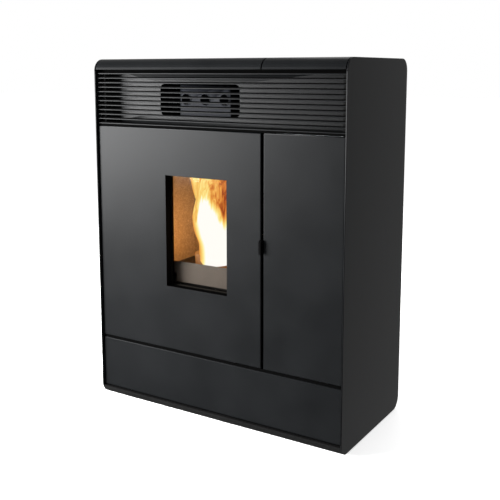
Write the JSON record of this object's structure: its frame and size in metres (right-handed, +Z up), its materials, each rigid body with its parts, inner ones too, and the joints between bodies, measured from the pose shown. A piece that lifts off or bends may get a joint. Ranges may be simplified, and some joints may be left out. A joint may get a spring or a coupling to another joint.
{
  "type": "pellet stove",
  "caption": "Slim floor-standing pellet stove casing with an off-centre fire window, a louvred warm-air grille across the top front, a hinged door and a hopper lid.",
  "frame": {"origin": "centre of the bounding box seen from above, on the floor under the feet", "axes": "+Z up, the window and door face -Y, +X is the viewer's right when facing the front"},
  "size_m": [0.89, 0.481, 1.124],
  "materials": {
    "painted_steel": "satin dark grey paint",
    "galvanised": "galvanised sheet",
    "stove_black": "matt heat-proof black",
    "cast_iron": "bare casting",
    "vermiculite": "pressed mineral board",
    "glass": "heat-proof glass ceramic",
    "rope": "braided glass-fibre rope",
    "rubber": "silicone strip",
    "steel": "plain steel",
    "plastic": "moulded black"
  },
  "bodies": {
    "casing": {"side_panel_left": "painted_steel", "side_panel_right": "painted_steel", "base_tray": "painted_steel", "foot_front_left": "steel", "foot_front_right": "steel", "foot_rear_left": "steel", "foot_rear_right": "steel", "side_frame_left": "stove_black", "side_frame_right": "stove_black", "lower_front_panel": "painted_steel", "right_front_panel": "painted_steel", "air_grille": "painted_steel", "grille_backplate": "stove_black", "top_cover": "painted_steel", "lid_hinge": "galvanised", "back_panel": "galvanised", "divider_plate": "stove_black", "door_hinge_bracket_lower": "stove_black", "door_hinge_bracket_upper": "stove_black", "latch_keeper": "stove_black", "firebox_body": "stove_black", "firebox_stand": "stove_black", "heat_exchanger": "stove_black", "liner_left": "vermiculite", "liner_right": "vermiculite", "liner_back": "vermiculite", "baffle_plate": "cast_iron", "hearth_plate": "cast_iron", "burn_pot": "cast_iron", "ash_pan": "stove_black", "igniter": "steel", "air_plenum": "galvanised", "room_fan_housing": "galvanised", "room_fan_motor": "stove_black", "smoke_duct": "galvanised", "smoke_fan_housing": "galvanised", "smoke_fan_motor": "stove_black", "flue_spigot": "stove_black", "air_intake_pipe": "stove_black", "hopper": "galvanised", "hopper_funnel": "galvanised", "hopper_grid": "steel", "lid_seal": "rubber", "auger_tube": "galvanised", "feed_motor": "stove_black", "pellet_chute": "galvanised", "control_box": "galvanised", "power_inlet": "plastic"},
    "door": {"door_panel": "painted_steel", "door_frame": "stove_black", "door_glass": "glass", "glass_seal": "rope", "glass_retainer": "stove_black", "door_rope_seal": "rope"},
    "door_handle": {"door_handle": "stove_black"},
    "lid": {"hopper_lid": "painted_steel"},
    "auger": {"auger_screw": "steel"},
    "room_fan": {"room_fan_drum": "steel"},
    "smoke_fan": {"smoke_impeller": "steel"},
    "switch": {"power_switch": "plastic"}
  },
  "joints": [
    {"name": "door_hinge", "type": "hinge", "parent": "casing", "child": "door", "pos_m": [-0.4315, -0.2195, 0.562], "axis": [0, 0, -1], "range_deg": [0, 95]},
    {"name": "handle_press", "type": "hinge", "parent": "door", "child": "door_handle", "pos_m": [0.1687, -0.1725, 0.582], "axis": [1, 0, 0], "range_deg": [0, 15], "stiffness_Nm_per_rad": 1.2, "springref_deg": -8.59},
    {"name": "lid_hinge_turn", "type": "hinge", "parent": "casing", "child": "lid", "pos_m": [0.30975, 0.131, 1.12], "axis": [-1, 0, 0], "range_deg": [0, 75]},
    {"name": "auger_spin", "type": "hinge", "parent": "casing", "child": "auger", "pos_m": [0.335, -0.0645, 0.37996], "axis": [-0.4695, 0, 0.8829], "continuous": true},
    {"name": "room_fan_spin", "type": "hinge", "parent": "casing", "child": "room_fan", "pos_m": [-0.086, 0.1205, 0.112], "axis": [1, 0, 0], "continuous": true},
    {"name": "smoke_fan_spin", "type": "hinge", "parent": "casing", "child": "smoke_fan", "pos_m": [0.1063, 0.0651, 0.15], "axis": [1, 0, 0], "continuous": true},
    {"name": "power_switch_rock", "type": "hinge", "parent": "casing", "child": "switch", "pos_m": [0.367, 0.1935, 0.125], "axis": [1, 0, 0], "range_deg": [-8, 8]}
  ]
}
